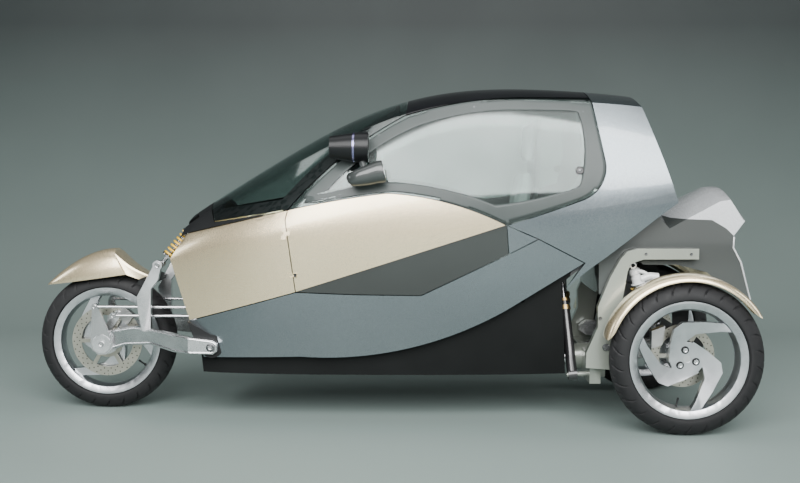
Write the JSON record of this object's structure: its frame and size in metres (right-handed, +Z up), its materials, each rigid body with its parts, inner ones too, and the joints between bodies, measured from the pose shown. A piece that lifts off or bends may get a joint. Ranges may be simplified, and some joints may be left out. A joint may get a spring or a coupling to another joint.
{
  "type": "leaning three-wheeled microcar",
  "caption": "Narrow enclosed tandem vehicle on three wheels: the cabin leans over an upright rear wheel module, with a leading-arm front wheel.",
  "frame": {"origin": "on the ground, below the middle of the bounding box", "axes": "+X forward along the length, +Y to the left, +Z up"},
  "size_m": [2.9678, 0.96, 1.365],
  "materials": {
    "paint_beige": "beige pearl",
    "paint_silver": "silver blue",
    "paint_graphite": "dark grey satin",
    "trim_black": "satin black",
    "roof_black": "gloss black",
    "window": "clear",
    "lens": "clear",
    "lamp_red": "red lens",
    "arm_alloy": "bright satin",
    "wheel_silver": "silver",
    "module_grey": "light grey green",
    "tail_white": "white silver",
    "tyre_rubber": "road tread",
    "spring_yellow": "yellow",
    "steel": "bright",
    "steel_black": "black",
    "disc_bronze": "heat tinted",
    "caliper_gold": "gold anodised",
    "engine_metal": "cast",
    "seat_fabric": "woven",
    "cabin_dark": "grained"
  },
  "bodies": {
    "rear_module": {"rear_frame": "module_grey", "tail_body": "paint_graphite", "tail_hood": "tail_white", "tail_lamps": "lamp_red", "engine_block": "engine_metal", "trailing_arms": "arm_alloy", "rear_springs": "spring_yellow", "rear_dampers": "steel", "rear_fenders": "paint_beige", "rear_calipers": "caliper_gold"},
    "cabin": {"floor_tub": "trim_black", "side_panels": "paint_silver", "nose_panels": "paint_beige", "nose_cap": "trim_black", "cabin_glass": "window", "screen_frame": "trim_black", "roof_panel": "roof_black", "rear_shell": "paint_silver", "rear_floor": "cabin_dark", "roll_frame": "steel_black", "driver_seat": "seat_fabric", "passenger_seat": "seat_fabric", "dashboard": "cabin_dark", "front_arms": "arm_alloy", "front_axle": "steel", "pivot_bosses": "trim_black", "front_springs": "spring_yellow", "front_dampers": "steel", "link_rods": "steel_black", "front_fender": "paint_beige", "lean_shaft": "steel"},
    "front_hub": {"hub_carrier": "arm_alloy", "front_caliper": "caliper_gold"},
    "front_wheel": {"front_tyre": "tyre_rubber", "front_wheel": "wheel_silver", "front_disc": "disc_bronze"},
    "steering_wheel": {"steering_wheel": "trim_black"},
    "rear_wheel_left": {"rear_tyre_left": "tyre_rubber", "rear_wheel_left": "wheel_silver", "rear_disc_left": "disc_bronze"},
    "door_left": {"door_skin_left": "paint_beige", "door_lower_left": "paint_graphite", "door_glass_left": "window", "door_frame_left": "steel_black", "door_pods_left": "trim_black", "lamp_lens_left": "lens"},
    "barrel_left": {"lean_barrel_left": "steel_black"},
    "rod_left": {"lean_rod_left": "steel"},
    "rear_wheel_right": {"rear_tyre_right": "tyre_rubber", "rear_wheel_right": "wheel_silver", "rear_disc_right": "disc_bronze"},
    "door_right": {"door_skin_right": "paint_beige", "door_lower_right": "paint_graphite", "door_glass_right": "window", "door_frame_right": "steel_black", "door_pods_right": "trim_black", "lamp_lens_right": "lens"},
    "barrel_right": {"lean_barrel_right": "steel_black"},
    "rod_right": {"lean_rod_right": "steel"}
  },
  "joints": [
    {"name": "lean", "type": "hinge", "parent": "rear_module", "child": "cabin", "pos_m": [1.191, 0, 0.055], "axis": [-0.9962, 0, 0.0872], "range_deg": [-45, 45]},
    {"name": "steer", "type": "hinge", "parent": "cabin", "child": "front_hub", "pos_m": [1.191, 0, 0.293], "axis": [0, 0, 1], "range_deg": [-20, 20]},
    {"name": "front_wheel_spin", "type": "hinge", "parent": "front_hub", "child": "front_wheel", "pos_m": [1.191, 0, 0.293], "axis": [0, 1, 0], "continuous": true},
    {"name": "steering_wheel_turn", "type": "hinge", "parent": "cabin", "child": "steering_wheel", "pos_m": [0.27, 0, 0.788], "axis": [-0.9109, 0, 0.4127], "range_deg": [-141, 141]},
    {"name": "rear_wheel_spin_left", "type": "hinge", "parent": "rear_module", "child": "rear_wheel_left", "pos_m": [-1.184, 0.42, 0.3], "axis": [0, 1, 0], "continuous": true},
    {"name": "door_left_hinge", "type": "hinge", "parent": "cabin", "child": "door_left", "pos_m": [0.391, 0.341, 0.7], "axis": [0, 0, -1], "range_deg": [0, 65]},
    {"name": "barrel_left_swing", "type": "hinge", "parent": "rear_module", "child": "barrel_left", "pos_m": [-0.77506, 0.197, 0.19039], "axis": [-0.9962, 0, 0.0872], "range_deg": [-36, 36]},
    {"name": "rod_left_slide", "type": "slide", "parent": "barrel_left", "child": "rod_left", "axis": [0.0822, -0.3323, 0.9396], "range_m": [-0.135, 0.135]},
    {"name": "rear_wheel_spin_right", "type": "hinge", "parent": "rear_module", "child": "rear_wheel_right", "pos_m": [-1.184, -0.42, 0.3], "axis": [0, 1, 0], "continuous": true},
    {"name": "door_right_hinge", "type": "hinge", "parent": "cabin", "child": "door_right", "pos_m": [0.391, -0.341, 0.7], "axis": [0, 0, 1], "range_deg": [0, 65]},
    {"name": "barrel_right_swing", "type": "hinge", "parent": "rear_module", "child": "barrel_right", "pos_m": [-0.80296, -0.197, 0.19283], "axis": [-0.9962, 0, 0.0872], "range_deg": [-36, 36]},
    {"name": "rod_right_slide", "type": "slide", "parent": "barrel_right", "child": "rod_right", "axis": [0.0822, 0.3323, 0.9396], "range_m": [-0.135, 0.135]}
  ],
  "couplings": [
    {"joint": "steering_wheel_turn", "follows": "steer", "ratio": 7},
    {"joint": "barrel_left_swing", "follows": "lean", "ratio": 0.792},
    {"joint": "rod_left_slide", "follows": "lean", "m_per_rad": -0.171},
    {"joint": "barrel_right_swing", "follows": "lean", "ratio": 0.792},
    {"joint": "rod_right_slide", "follows": "lean", "m_per_rad": 0.171}
  ]
}
